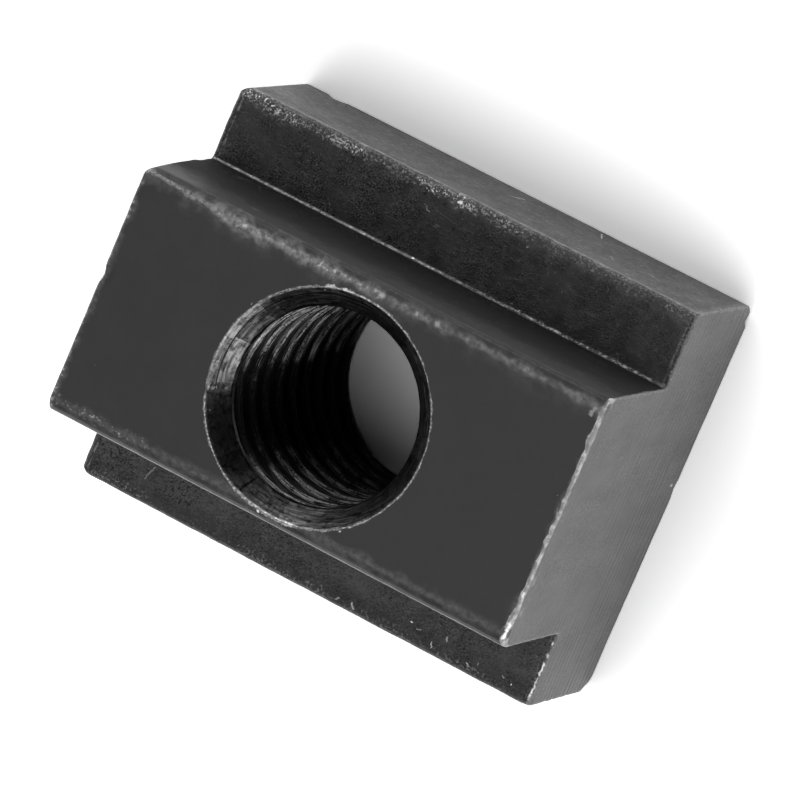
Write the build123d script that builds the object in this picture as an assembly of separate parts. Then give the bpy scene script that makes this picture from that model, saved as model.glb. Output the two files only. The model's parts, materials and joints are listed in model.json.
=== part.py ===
"""A T slot nut for a machine table: one block of blackened steel with a tapped through hole.

The neck fills the slot's mouth, and the two shoulders bear on the underside of the slot's lips.
Frame: the origin is at the middle of the underside, X runs along the slot, Y runs across the T
and Z points up, out of the slot.
"""

import math
import os

from build123d import *

# Bar section, across the slot
neck_width = 13.7  # runs in a slot whose mouth is 14 wide
shoulder_width = 4.15  # how far each side of the flange stands out past the neck
flange_height = 8.6
neck_height = 8.2

# Edges of the bar; the neck's two top edges are worn differently
neck_front_radius = 0.85
neck_back_radius = 0.4
shoulder_edge_radius = 0.35
underside_edge_radius = 1.1
root_radius = 0.2

# Length sawn off the bar
length = 27.0
saw_edge_chamfer = 0.15

# Tapped hole
thread_size = 12.0
thread_pitch = 1.75
mouth_clearance = 0.05  # the countersink opens this far past the thread's crests in the bolt
countersink_angle = 90.0
outlet_chamfer = 0.4
hole_drift_x = -0.2  # the hole is drilled this far off the middle of the block
hole_drift_y = -0.3

# Derived sizes
flange_width = neck_width + 2 * shoulder_width
height = flange_height + neck_height
# An ISO thread in a nut is five eighths of its sharp triangle deep.
thread_depth = 5 / 8 * math.sqrt(3) / 2 * thread_pitch
bore_radius = thread_size / 2 - thread_depth
countersink_radius = thread_size / 2 + mouth_clearance
countersink_depth = (countersink_radius - bore_radius) / math.tan(math.radians(countersink_angle / 2))


def bar_section():
    """The T of the drawn bar, standing on its underside, with every edge broken as on the bar."""
    half_flange = flange_width / 2
    half_neck = neck_width / 2
    outline = Polyline(
        (-half_flange, 0),
        (half_flange, 0),
        (half_flange, flange_height),
        (half_neck, flange_height),
        (half_neck, height),
        (-half_neck, height),
        (-half_neck, flange_height),
        (-half_flange, flange_height),
        close=True,
    )
    section = make_face(outline)

    def corners(side, level):
        """The section's corners at one level and, unless side is 0, on one side of the middle."""
        at_level = [v for v in section.vertices() if abs(v.Y - level) < 1e-6]
        return [v for v in at_level if side == 0 or v.X * side > 0]

    roots = [v for v in corners(0, flange_height) if abs(v.X) < half_neck + shoulder_width / 2]
    section = fillet(roots, root_radius)
    tips = [v for v in corners(0, flange_height) if abs(v.X) > half_flange - shoulder_width / 2]
    section = fillet(tips, shoulder_edge_radius)
    section = fillet(corners(0, 0), underside_edge_radius)
    section = fillet(corners(-1, height), neck_front_radius)
    section = fillet(corners(1, height), neck_back_radius)
    return section


def sawn_block():
    """The bar cut to length, with the sharp saw edges taken off both ends."""
    across_slot = Plane(origin=(0, 0, 0), x_dir=(0, 1, 0), z_dir=(1, 0, 0))
    block = extrude(across_slot * bar_section(), amount=length / 2, both=True)
    end_faces = block.faces().filter_by(Axis.X)
    end_edges = end_faces.sort_by(Axis.X)[0].edges() + end_faces.sort_by(Axis.X)[-1].edges()
    return chamfer(end_edges, saw_edge_chamfer)


def tapped_hole():
    """What the drill and the countersink remove; the thread itself is only a plain bore here."""
    bore = Cylinder(bore_radius, height, align=(Align.CENTER, Align.CENTER, Align.MIN))
    mouth = Pos(0, 0, height - countersink_depth) * Cone(
        bore_radius,
        countersink_radius,
        countersink_depth,
        align=(Align.CENTER, Align.CENTER, Align.MIN),
    )
    outlet = Cone(
        bore_radius + outlet_chamfer,
        bore_radius,
        outlet_chamfer,
        align=(Align.CENTER, Align.CENTER, Align.MIN),
    )
    return Pos(hole_drift_x, hole_drift_y, 0) * (bore + mouth + outlet)


def t_slot_nut():
    """The finished nut: one solid."""
    return sawn_block() - tapped_hole()


os.makedirs("parts", exist_ok=True)
export_step(t_slot_nut(), "parts/t_slot_nut.step")
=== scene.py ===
"""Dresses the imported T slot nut: a worn block of blackened steel with its thread cut, on a white floor.

The script is laid out as an add-on. Sizes and colours are properties, the nut and its stage have an
operator each, and a panel in the 3D view's sidebar lists them. Lengths are in metres, but in mm in
the finishes and where a name ends in mm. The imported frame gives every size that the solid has.
"""

import bisect
import json
import math

import bmesh
import bpy
from mathutils import Matrix, Vector, noise
from mathutils.geometry import delaunay_2d_cdt


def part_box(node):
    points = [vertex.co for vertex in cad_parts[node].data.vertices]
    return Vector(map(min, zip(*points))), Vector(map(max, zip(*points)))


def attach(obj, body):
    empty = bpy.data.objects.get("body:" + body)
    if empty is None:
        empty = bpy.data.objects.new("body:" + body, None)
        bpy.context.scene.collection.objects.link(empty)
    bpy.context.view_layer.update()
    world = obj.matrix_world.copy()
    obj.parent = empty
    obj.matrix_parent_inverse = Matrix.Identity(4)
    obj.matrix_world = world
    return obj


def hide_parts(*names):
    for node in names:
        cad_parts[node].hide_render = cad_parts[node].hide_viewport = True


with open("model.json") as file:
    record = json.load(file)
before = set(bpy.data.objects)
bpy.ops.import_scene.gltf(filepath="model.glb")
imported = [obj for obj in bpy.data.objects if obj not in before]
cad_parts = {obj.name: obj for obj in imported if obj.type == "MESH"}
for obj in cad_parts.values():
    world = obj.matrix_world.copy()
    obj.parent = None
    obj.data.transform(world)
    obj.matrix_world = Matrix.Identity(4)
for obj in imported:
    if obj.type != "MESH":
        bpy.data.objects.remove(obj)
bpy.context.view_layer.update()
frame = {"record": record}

bl_info = {
    "name": "T slot nut",
    "version": (1, 0, 0),
    "blender": (4, 5, 0),
    "location": "View3D > Sidebar > T slot nut",
    "description": "Builds a worn, blackened T slot nut with a cut thread, and its studio",
    "category": "Object",
}

NODE = "t_slot_nut"
BODY = "root"
MM = 0.001

# How far each point of the mesh is from the nearest broken edge, in mm: edge wear reads it
EDGE_GAP = "edge_gap"
FAR_FROM_EDGES = 9.0

# Materials in the order of the mesh's slots
NECK_OXIDE, NECK_SIDE, SHOULDER_SCALE, ROLLED_SIDE, SAWN_END, CUT_THREAD, COUNTERSINK = range(7)

# Near-white steel for a painted glint, where a burr catches the light
BRIGHT_STEEL = (0.95, 0.95, 0.95)


def packed_mount(name):
    """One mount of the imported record, by name."""
    return next(mount for mount in frame["record"]["mounts"] if mount["name"] == name)


def packed_sizes():
    """Sizes of the solid nut, read from its box and its mounts."""
    low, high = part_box(NODE)
    thread = packed_mount("thread")
    shoulder = packed_mount("back_shoulder")
    half_wall = thread["dims"]["length_mm"] * MM / 2
    return {
        "length": high.x - low.x,
        "flange_width": high.y - low.y,
        "height": high.z,
        "flange_height": shoulder["pos_m"][2],
        "neck_width": 4 * shoulder["pos_m"][1] - (high.y - low.y),
        "bore_radius": thread["dims"]["r_mm"] * MM,
        "hole_x": thread["pos_m"][0],
        "hole_y": thread["pos_m"][1],
        "mouth_depth": high.z - thread["pos_m"][2] - half_wall,
        "outlet_depth": thread["pos_m"][2] - half_wall,
    }


SIZES = packed_sizes()


def size_property(name, description, default, smallest=0.0):
    """A length that a user may change."""
    return bpy.props.FloatProperty(
        name=name, description=description, default=default, min=smallest, subtype="DISTANCE",
        unit="LENGTH", precision=5)


def colour_property(name, description, default):
    """A colour that a user may change."""
    return bpy.props.FloatVectorProperty(
        name=name, description=description, default=default, min=0.0, max=1.0, size=3, subtype="COLOR")


class NutSizes(bpy.types.PropertyGroup):
    """Sizes of the nut: the solid's own, and the radii that wear has left on its edges."""

    length: size_property("Length", "Length sawn off the bar", SIZES["length"])
    flange_width: size_property("Flange width", "Across both shoulders", SIZES["flange_width"])
    flange_height: size_property("Flange height", "Height of the shoulders", SIZES["flange_height"])
    neck_width: size_property("Neck width", "Width of the neck in the slot's mouth", SIZES["neck_width"])
    height: size_property("Height", "From the underside to the neck's top", SIZES["height"])
    neck_front_radius: size_property("Neck front edge", "Radius of the neck's front top edge", 0.85 * MM)
    neck_back_radius: size_property("Neck back edge", "Radius of the neck's back top edge", 0.4 * MM)
    shoulder_radius: size_property("Shoulder edge", "Radius of the shoulders' outer edges", 0.35 * MM)
    underside_radius: size_property("Underside edge", "Radius of the underside's long edges", 1.1 * MM)
    root_radius: size_property("Root", "Radius between a shoulder and the neck", 0.2 * MM)
    saw_break: size_property("Saw edge", "Mean break of the sawn ends' edges", 0.11 * MM)
    corner_radius: size_property("Flange corner", "Radius of the flange's corners at -X", 0.65 * MM)
    worn_radius: size_property("Worn corner", "Radius of the neck's top back corner at -X", 0.65 * MM)


class ThreadSizes(bpy.types.PropertyGroup):
    """Sizes of the tapped hole."""

    bore_radius: size_property("Bore radius", "Radius at the thread's crests", SIZES["bore_radius"])
    pitch: size_property("Pitch", "Rise of the thread in one turn", 1.75 * MM)
    mouth_depth: size_property("Countersink depth", "Depth of the countersink", SIZES["mouth_depth"])
    outlet_depth: size_property("Outlet depth", "Depth of the lower chamfer", SIZES["outlet_depth"])
    hole_x: size_property("Hole along", "Place of the hole along the nut", SIZES["hole_x"], -1.0)
    hole_y: size_property("Hole across", "Place of the hole across the nut", SIZES["hole_y"], -1.0)
    segments: bpy.props.IntProperty(
        name="Segments", description="Faces round the thread", default=112, min=24, max=256)
    rows: bpy.props.IntProperty(
        name="Rows", description="Rows of faces in one pitch, a multiple of 16", default=32, min=16, max=64)


class NutFinish(bpy.types.PropertyGroup):
    """Colours of the nut's finish."""

    oxide: colour_property("Oxide", "Smooth black oxide", (0.018, 0.018, 0.018))
    scale: colour_property("Scale", "Rougher black scale", (0.016, 0.016, 0.016))
    bare: colour_property("Bare steel", "Steel where the finish is rubbed off", (0.42, 0.42, 0.42))
    cut: colour_property("Cut steel", "Blackened steel where the tools have cut it", (0.09, 0.09, 0.09))


class StageLook(bpy.types.PropertyGroup):
    """Floor, light and camera."""

    floor: colour_property("Floor", "Colour of the floor", (0.9, 0.9, 0.9))
    dome: bpy.props.FloatProperty(
        name="Dome", description="Strength of the pale surroundings", default=0.5, min=0.0, max=2.0)
    side_light: bpy.props.FloatProperty(
        name="Side light", description="Radiance of the softbox at the front right", default=1.4, min=0.0)
    key_light: bpy.props.FloatProperty(
        name="Key light", description="Radiance of the softbox overhead", default=2.5, min=0.0)
    back_light: bpy.props.FloatProperty(
        name="Back light", description="Radiance of the softbox at the back", default=1.5, min=0.0)


# --------------------------------------------------------------------------------------------------
# Marks placed one by one
# --------------------------------------------------------------------------------------------------

# Single scars by surface, in mm: start, end, width, and strength, where 1 is bare steel and 2 a painted
# glint.
# Those of an edge lie on both surfaces that meet there.
SHOULDER_SCARS = (
    ((-0.4, 10.55, 8.6), (-0.25, 10.6, 8.6), 0.1, 2.4),
    ((-2.0, 9.7, 8.6), (-1.6, 9.4, 8.6), 0.04, 0.7),
    ((3.8, 10.1, 8.6), (3.9, 10.15, 8.6), 0.07, 0.7),
    ((-1.5, 6.95, 8.65), (-1.4, 6.95, 8.65), 0.06, 1.8),
    ((4.1, 7.0, 8.7), (4.3, 7.15, 8.65), 0.1, 1.0),
    ((4.8, 7.0, 8.65), (5.0, 7.0, 8.7), 0.09, 1.0),
    ((-10.1, -9.7, 8.6), (-9.8, -8.9, 8.6), 0.06, 0.4),
    ((2.8, -10.4, 8.6), (3.0, -10.7, 8.6), 0.07, 0.8),
    ((1.9, -10.6, 8.6), (2.1, -10.5, 8.6), 0.06, 0.8),
    ((6.1, -9.85, 8.6), (6.12, -9.85, 8.6), 0.06, 1.8),
    ((6.5, -10.1, 8.6), (6.7, -10.0, 8.6), 0.05, 0.8),
    ((7.5, -10.3, 8.6), (7.6, -10.6, 8.6), 0.05, 0.9),
    ((8.15, -9.7, 8.6), (8.25, -9.95, 8.6), 0.05, 0.7),
    ((9.65, -10.4, 8.6), (9.85, -10.5, 8.6), 0.06, 1.0),
    ((10.2, -10.1, 8.6), (10.25, -10.3, 8.6), 0.05, 0.8),
    ((11.6, -10.1, 8.6), (11.75, -10.2, 8.6), 0.05, 0.9),
    ((12.25, -10.35, 8.6), (12.27, -10.35, 8.6), 0.06, 2.0),
)

EDGE_SCARS = (
    ((13.4, -10.6, 8.6), (13.4, -10.0, 8.6), 0.12, 1.6),
    ((13.4, -9.9, 8.6), (13.4, -9.4, 8.6), 0.08, 1.3),
    ((13.4, -9.2, 8.6), (13.4, -8.6, 8.6), 0.1, 1.5),
    ((13.4, -8.2, 8.6), (13.4, -8.1, 8.6), 0.08, 1.2),
    ((13.4, -7.5, 8.6), (13.4, -7.4, 8.6), 0.1, 1.5),
    ((13.3, -6.5, 16.7), (13.4, -5.9, 16.7), 0.16, 1.6),
    ((13.4, -5.7, 16.7), (13.3, -5.3, 16.7), 0.15, 1.5),
    ((13.2, -5.0, 16.7), (13.15, -4.6, 16.7), 0.09, 1.2),
    ((13.4, -4.2, 16.7), (13.4, -3.8, 16.7), 0.13, 1.3),
)

SIDE_SCARS = (
    ((0.5, 11.0, 3.0), (0.8, 11.0, 2.6), 0.08, 1.5),
    ((0.2, 11.0, 3.5), (0.5, 11.0, 3.1), 0.06, 1.1),
    ((5.0, 11.0, 1.6), (5.4, 11.0, 2.6), 0.07, 1.4),
    ((7.2, 11.0, 5.6), (7.5, 11.0, 6.2), 0.09, 0.4),
    ((9.3, 11.0, 5.3), (9.8, 11.0, 5.5), 0.06, 0.8),
)

END_SCARS = (
    ((13.5, 0.8, 0.6), (13.5, 0.8, 0.9), 0.1, 2.0),
)

MOUTH_SCARS = (
    ((-5.95, -1.95, 16.75), (-5.9, -1.7, 16.7), 0.09, 1.2),
    ((-5.8, -1.95, 16.6), (-5.7, -1.85, 16.5), 0.1, 0.9),
    ((-5.4, -1.85, 16.1), (-5.3, -1.7, 16.0), 0.09, 0.8),
    ((-5.25, -1.95, 15.95), (-5.2, -2.1, 15.9), 0.07, 0.8),
    ((-5.2, -2.6, 16.1), (-5.1, -2.7, 16.0), 0.07, 0.8),
    ((-5.46, -2.98, 16.6), (-5.4, -2.85, 16.5), 0.06, 0.8),
    ((-2.3, 5.2, 16.7), (-2.2, 5.2, 16.7), 0.09, 1.2),
)

NECK_SCARS = (
    ((-1.4, 5.7, 16.8), (-0.9, 5.75, 16.8), 0.12, 1.2),
    ((-2.3, 5.45, 16.8), (-1.9, 5.6, 16.8), 0.1, 1.0),
    ((-0.4, 5.75, 16.8), (0.0, 5.7, 16.8), 0.12, 1.0),
    ((13.0, 6.2, 16.7), (12.9, 5.8, 16.8), 0.16, 0.5),
)

# Sectors round the hole, each from an angle in degrees on. For the cone, its inner half and the thread: how
# light each is painted, for the lamps' reflections and the dark between them, and on the cone in part for
# the tool's chatter facets. For the rim: how strong its bead of bare steel is.
COUNTERSINK_PAINTED_LIGHT = (
    (0.0, 0.7), (60.0, 0.28), (118.0, 0.18), (138.0, 0.5), (146.0, 1.35), (168.0, 0.7), (172.0, 0.95),
    (195.0, 1.2), (196.0, 0.62), (230.0, 0.3), (248.5, 0.05), (250.0, 0.24), (272.0, 0.12), (272.6, 0.5),
    (296.0, 0.42), (308.0, 0.38))
INNER_PAINTED_LIGHT = ((0.0, 0.5), (140.0, 0.28), (166.0, 1.2), (176.0, 0.85), (192.0, 0.5))
RIM_SECTORS = (
    (0.0, 0.8), (60.0, 1.1), (115.0, 0.8), (140.0, 0.7), (198.0, 1.05), (250.0, 1.1), (263.0, 1.25),
    (280.0, 0.9))
THREAD_PAINTED_LIGHT = (
    (0.0, 0.3), (120.0, 0.35), (146.0, 1.0), (172.0, 1.0), (188.0, 0.06), (232.0, 0.1), (250.0, 0.75),
    (275.0, 0.6), (300.0, 0.3))

# Dents, in mm: place, outward direction, reach and depth
DENTS_MM = (
    ((-11.2, 11.0, 0.8), (0.0, 1.0, -0.3), 0.7, 0.14),
    ((13.4, -4.75, 16.8), (0.0, 0.0, 1.0), 0.5, 0.06),
    ((13.5, 10.2, 0.0), (1.0, 0.0, -0.8), 0.5, 0.25),
    ((13.5, -10.9, 0.5), (0.0, -1.0, 0.0), 0.5, 0.12),
    ((13.5, 0.8, 0.2), (1.0, 0.0, 0.0), 0.4, 0.12),
    ((-13.5, 0.8, 16.8), (-1.0, 0.0, 1.0), 0.6, 0.12),
    ((13.4, 6.6, 16.7), (1.0, 1.0, 1.0), 0.5, 0.1),
    ((13.4, -10.8, 8.5), (1.0, -1.0, 1.0), 0.5, 0.08),
)

# Mean distance between the strokes of the saw
SAW_PITCH_MM = 0.55


# --------------------------------------------------------------------------------------------------
# Node trees
# --------------------------------------------------------------------------------------------------

def grey(value):
    """A neutral colour."""
    return value, value, value


class Web:
    """Adds nodes to one tree and links them, so that a recipe reads from top to bottom."""

    def __init__(self, tree):
        self.tree = tree
        self.count = 0

    def add(self, kind, **settings):
        """A new node of that kind, with its settings."""
        node = self.tree.nodes.new(kind)
        node.location = (200 * (self.count % 12), -260 * (self.count // 12))
        self.count += 1
        for name, value in settings.items():
            setattr(node, name, value)
        return node

    def feed(self, socket, value):
        """Links a socket into this one, or sets its constant."""
        if isinstance(value, bpy.types.NodeSocket):
            self.tree.links.new(value, socket)
        elif value is not None:
            socket.default_value = value

    def node(self, kind, inputs, **settings):
        """A new node with its inputs fed by name or number."""
        made = self.add(kind, **settings)
        for key, value in inputs.items():
            self.feed(made.inputs[key], value)
        return made

    def math(self, operation, *values, clamp=False):
        """Result of a math node."""
        made = self.add("ShaderNodeMath", operation=operation, use_clamp=clamp)
        for place, value in enumerate(values):
            self.feed(made.inputs[place], value)
        return made.outputs[0]

    def plus(self, first, second):
        """The sum of two numbers."""
        return self.math("ADD", first, second)

    def minus(self, first, second):
        """The first number less the second."""
        return self.math("SUBTRACT", first, second)

    def times(self, first, *others):
        """The product of two or more numbers."""
        for other in others:
            first = self.math("MULTIPLY", first, other)
        return first

    def hypot(self, x, y):
        """Length of the long side of a right-angled triangle."""
        return self.math("SQRT", self.plus(self.times(x, x), self.times(y, y)))

    def vector(self, operation, *values):
        """Result of a vector math node: a number for a length or a dot product."""
        made = self.add("ShaderNodeVectorMath", operation=operation)
        for place, value in enumerate(values):
            self.feed(made.inputs[place], value)
        return made.outputs["Value" if operation in ("LENGTH", "DOT_PRODUCT") else "Vector"]

    def scaled(self, vector, factor):
        """A vector or colour times a number."""
        made = self.add("ShaderNodeVectorMath", operation="SCALE")
        self.feed(made.inputs[0], vector)
        self.feed(made.inputs["Scale"], factor)
        return made.outputs["Vector"]

    def split(self, vector):
        """The three parts of a vector or colour."""
        made = self.node("ShaderNodeSeparateXYZ", {0: vector})
        return made.outputs[0], made.outputs[1], made.outputs[2]

    def join(self, x=0.0, y=0.0, z=0.0):
        """A vector from its three parts."""
        return self.node("ShaderNodeCombineXYZ", {0: x, 1: y, 2: z}).outputs[0]

    def ramp(self, value, low, high, first=0.0, last=1.0, smooth=True):
        """Value mapped from low..high to first..last, and held outside."""
        made = self.node("ShaderNodeMapRange", {0: value, 1: low, 2: high, 3: first, 4: last},
                         interpolation_type="SMOOTHSTEP" if smooth else "LINEAR")
        return made.outputs[0]

    def noise(self, vector, scale, detail=2.0, roughness=0.5, distortion=0.0):
        """Smooth noise from 0 to 1."""
        made = self.node("ShaderNodeTexNoise", {
            "Vector": vector, "Scale": scale, "Detail": detail, "Roughness": roughness,
            "Distortion": distortion})
        return made.outputs[0]

    def cells(self, vector, scale):
        """Distance to the nearest of many random points, and that point's random colour."""
        made = self.node("ShaderNodeTexVoronoi", {"Vector": vector, "Scale": scale})
        return made.outputs["Distance"], made.outputs["Color"]

    def blend(self, share, first, second):
        """A colour from first to second by share."""
        made = self.add("ShaderNodeMix", data_type="RGBA")
        self.feed(made.inputs[0], share)
        for socket, value in ((made.inputs[6], first), (made.inputs[7], second)):
            self.feed(socket, (*value, 1.0) if isinstance(value, (tuple, list)) else value)
        return made.outputs[2]

    def between(self, share, first, second):
        """A number from first to second by share."""
        made = self.add("ShaderNodeMix", data_type="FLOAT")
        for place, value in enumerate((share, first, second)):
            self.feed(made.inputs[(0, 2, 3)[place]], value)
        return made.outputs[0]

    def effect(self, tree, **inputs):
        """A shared node group, with its inputs fed by name."""
        made = self.add("ShaderNodeGroup", node_tree=tree)
        for name, value in inputs.items():
            self.feed(made.inputs[name.replace("_", " ").capitalize()], value)
        return made.outputs


def new_effect(name, inputs, outputs):
    """An empty shader node group with those sockets, its web and its two ends."""
    tree = bpy.data.node_groups.new(name, "ShaderNodeTree")
    for socket, default in inputs.items():
        kind = "NodeSocketVector" if default is None else "NodeSocketFloat"
        made = tree.interface.new_socket(socket, in_out="INPUT", socket_type=kind)
        if default is not None:
            made.default_value = default
    for socket in outputs:
        tree.interface.new_socket(socket, in_out="OUTPUT", socket_type="NodeSocketFloat")
    web = Web(tree)
    return tree, web, web.add("NodeGroupInput").outputs, web.add("NodeGroupOutput").inputs


def edge_wear_effect():
    """Rubbed metal within a ragged width of a line. Spots breaks it up into separate grains."""
    tree, web, given, result = new_effect(
        "Edge wear", {"Position": None, "Gap": 1.0, "Width": 0.2, "Raggedness": 0.5, "Detail": 3.0,
                      "Spots": 0.0}, ["Mask"])
    patch = web.noise(given["Position"], given["Detail"], 4.0, 0.6)
    swing = web.times(web.minus(patch, 0.5), given["Raggedness"], 4.0)
    reach = web.times(given["Width"], web.plus(swing, 1.0))
    line = web.ramp(given["Gap"], web.times(reach, 0.3), web.plus(reach, 0.001), 1.0, 0.0)
    grains = web.noise(given["Position"], web.times(given["Detail"], 3.0), 3.0, 0.6)
    spots = web.between(given["Spots"], 1.0, web.ramp(grains, 0.42, 0.64))
    web.feed(result["Mask"], web.times(line, spots))
    return tree


def rubbed_band_effect():
    """Softly rubbed metal beside a line: a mottled mask, and the brighter beads in it."""
    tree, web, given, result = new_effect(
        "Rubbed band", {"Position": None, "Gap": 1.0, "Width": 0.5, "Fineness": 6.0}, ["Mask", "Beads"])
    slow = web.noise(given["Position"], 0.8, 2.0, 0.5)
    width = web.times(given["Width"], web.ramp(slow, 0.3, 0.7, 0.5, 1.4))
    fall = web.ramp(given["Gap"], 0.0, width, 1.0, 0.0)
    mottle = web.noise(given["Position"], given["Fineness"], 2.0, 0.6)
    web.feed(result["Mask"], web.times(fall, web.ramp(mottle, 0.3, 0.68, 0.3, 1.0)))
    cluster = web.ramp(web.noise(given["Position"], 0.4, 1.0, 0.5), 0.36, 0.56, 0.35, 1.0)
    web.feed(result["Beads"], web.times(fall, fall, cluster, web.ramp(mottle, 0.53, 0.65)))
    return tree


def grain_effect():
    """Fine grain of oxide or scale: a height, a slow tone that clouds it, light specks and dark hollows.
    It is rough in patches, and alike all over where evenness is 1."""
    tree, web, given, result = new_effect(
        "Oxide grain", {"Position": None, "Fineness": 8.0, "Cloud": 0.6, "Evenness": 0.0},
        ["Height", "Tone", "Specks", "Hollows"])
    fine = web.noise(given["Position"], given["Fineness"], 1.5, 0.6)
    coarse = web.noise(given["Position"], web.times(given["Fineness"], 0.35), 1.0, 0.5)
    fine = web.between(0.22, fine, coarse)
    shifted = web.vector("ADD", given["Position"], (3.0, 11.0, 5.0))
    rough = web.ramp(web.noise(shifted, web.times(given["Cloud"], 0.7), 3.0, 0.6), 0.36, 0.6, 0.25, 1.2)
    rough = web.between(given["Evenness"], rough, 1.0)
    web.feed(result["Height"], web.times(fine, rough))
    web.feed(result["Tone"], web.noise(given["Position"], given["Cloud"], 4.0, 0.62))
    web.feed(result["Specks"], web.times(web.ramp(fine, 0.53, 0.65), rough))
    web.feed(result["Hollows"], web.times(web.ramp(fine, 0.37, 0.49, 1.0, 0.0), rough))
    return tree


def pits_effect():
    """Small pits or grits, thrown over the surface at random."""
    tree, web, given, result = new_effect(
        "Pits", {"Position": None, "Density": 4.0, "Size": 0.2, "Share": 0.4}, ["Mask"])
    push = web.node("ShaderNodeTexNoise", {"Vector": given["Position"], "Scale": 6.0}).outputs["Color"]
    warped = web.vector("ADD", given["Position"], web.scaled(push, 0.25))
    distance, colour = web.cells(warped, given["Density"])
    red, green, _ = web.split(colour)
    chosen = web.math("LESS_THAN", red, given["Share"])
    size = web.times(given["Size"], web.plus(green, 0.3))
    dot = web.ramp(distance, web.times(size, 0.5), size, 1.0, 0.0)
    web.feed(result["Mask"], web.times(dot, chosen))
    return tree


def scratches_effect():
    """Thin curved hair scratches, only in some places."""
    tree, web, given, result = new_effect(
        "Scratches", {"Position": None, "Scale": 1.2, "Thickness": 0.01, "Share": 0.4}, ["Mask"])
    drawn = web.vector("MULTIPLY", given["Position"], (0.45, 1.3, 0.8))
    line = web.noise(drawn, given["Scale"], 1.0, 0.5)
    hair = web.ramp(web.math("ABSOLUTE", web.minus(line, 0.5)), 0.0, given["Thickness"], 1.0, 0.0)
    shifted = web.vector("ADD", given["Position"], (31.0, 17.0, 5.0))
    place = web.noise(shifted, web.times(given["Scale"], 1.7), 2.0, 0.5)
    least = web.times(web.minus(1.0, given["Share"]), 0.75)
    web.feed(result["Mask"], web.times(hair, web.ramp(place, least, web.plus(least, 0.06))))
    return tree


def stroke_effect():
    """A short stroke between two places, in mm: a scratch, or a chip where they are close together."""
    tree, web, given, result = new_effect(
        "Stroke", {"Position": None, "Start": None, "End": None, "Width": 0.05}, ["Mask"])
    jitter = web.node("ShaderNodeTexNoise", {"Vector": given["Position"], "Scale": 5.0}).outputs["Color"]
    jitter = web.scaled(web.vector("SUBTRACT", jitter, (0.5, 0.5, 0.5)), 0.25)
    away = web.vector("SUBTRACT", web.vector("ADD", given["Position"], jitter), given["Start"])
    along = web.vector("SUBTRACT", given["End"], given["Start"])
    share = web.math("DIVIDE", web.vector("DOT_PRODUCT", away, along),
                     web.math("MAXIMUM", web.vector("DOT_PRODUCT", along, along), 0.0001), clamp=True)
    gap = web.vector("LENGTH", web.vector("SUBTRACT", away, web.scaled(along, share)))
    web.feed(result["Mask"], web.ramp(gap, web.times(given["Width"], 0.3), given["Width"], 1.0, 0.0))
    return tree


def tool_lines_effect():
    """Lines that a tool leaves: fine across its path and long along it."""
    tree, web, given, result = new_effect(
        "Tool lines", {"Across": 0.0, "Along": 0.0, "Density": 5.0, "Length": 8.0}, ["Height"])
    along = web.math("DIVIDE", given["Along"], given["Length"])
    across = web.times(given["Across"], given["Density"])
    web.feed(result["Height"], web.noise(web.join(across, along, 0.0), 1.0, 1.5, 0.6))
    return tree


# --------------------------------------------------------------------------------------------------
# Finishes
# --------------------------------------------------------------------------------------------------

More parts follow.
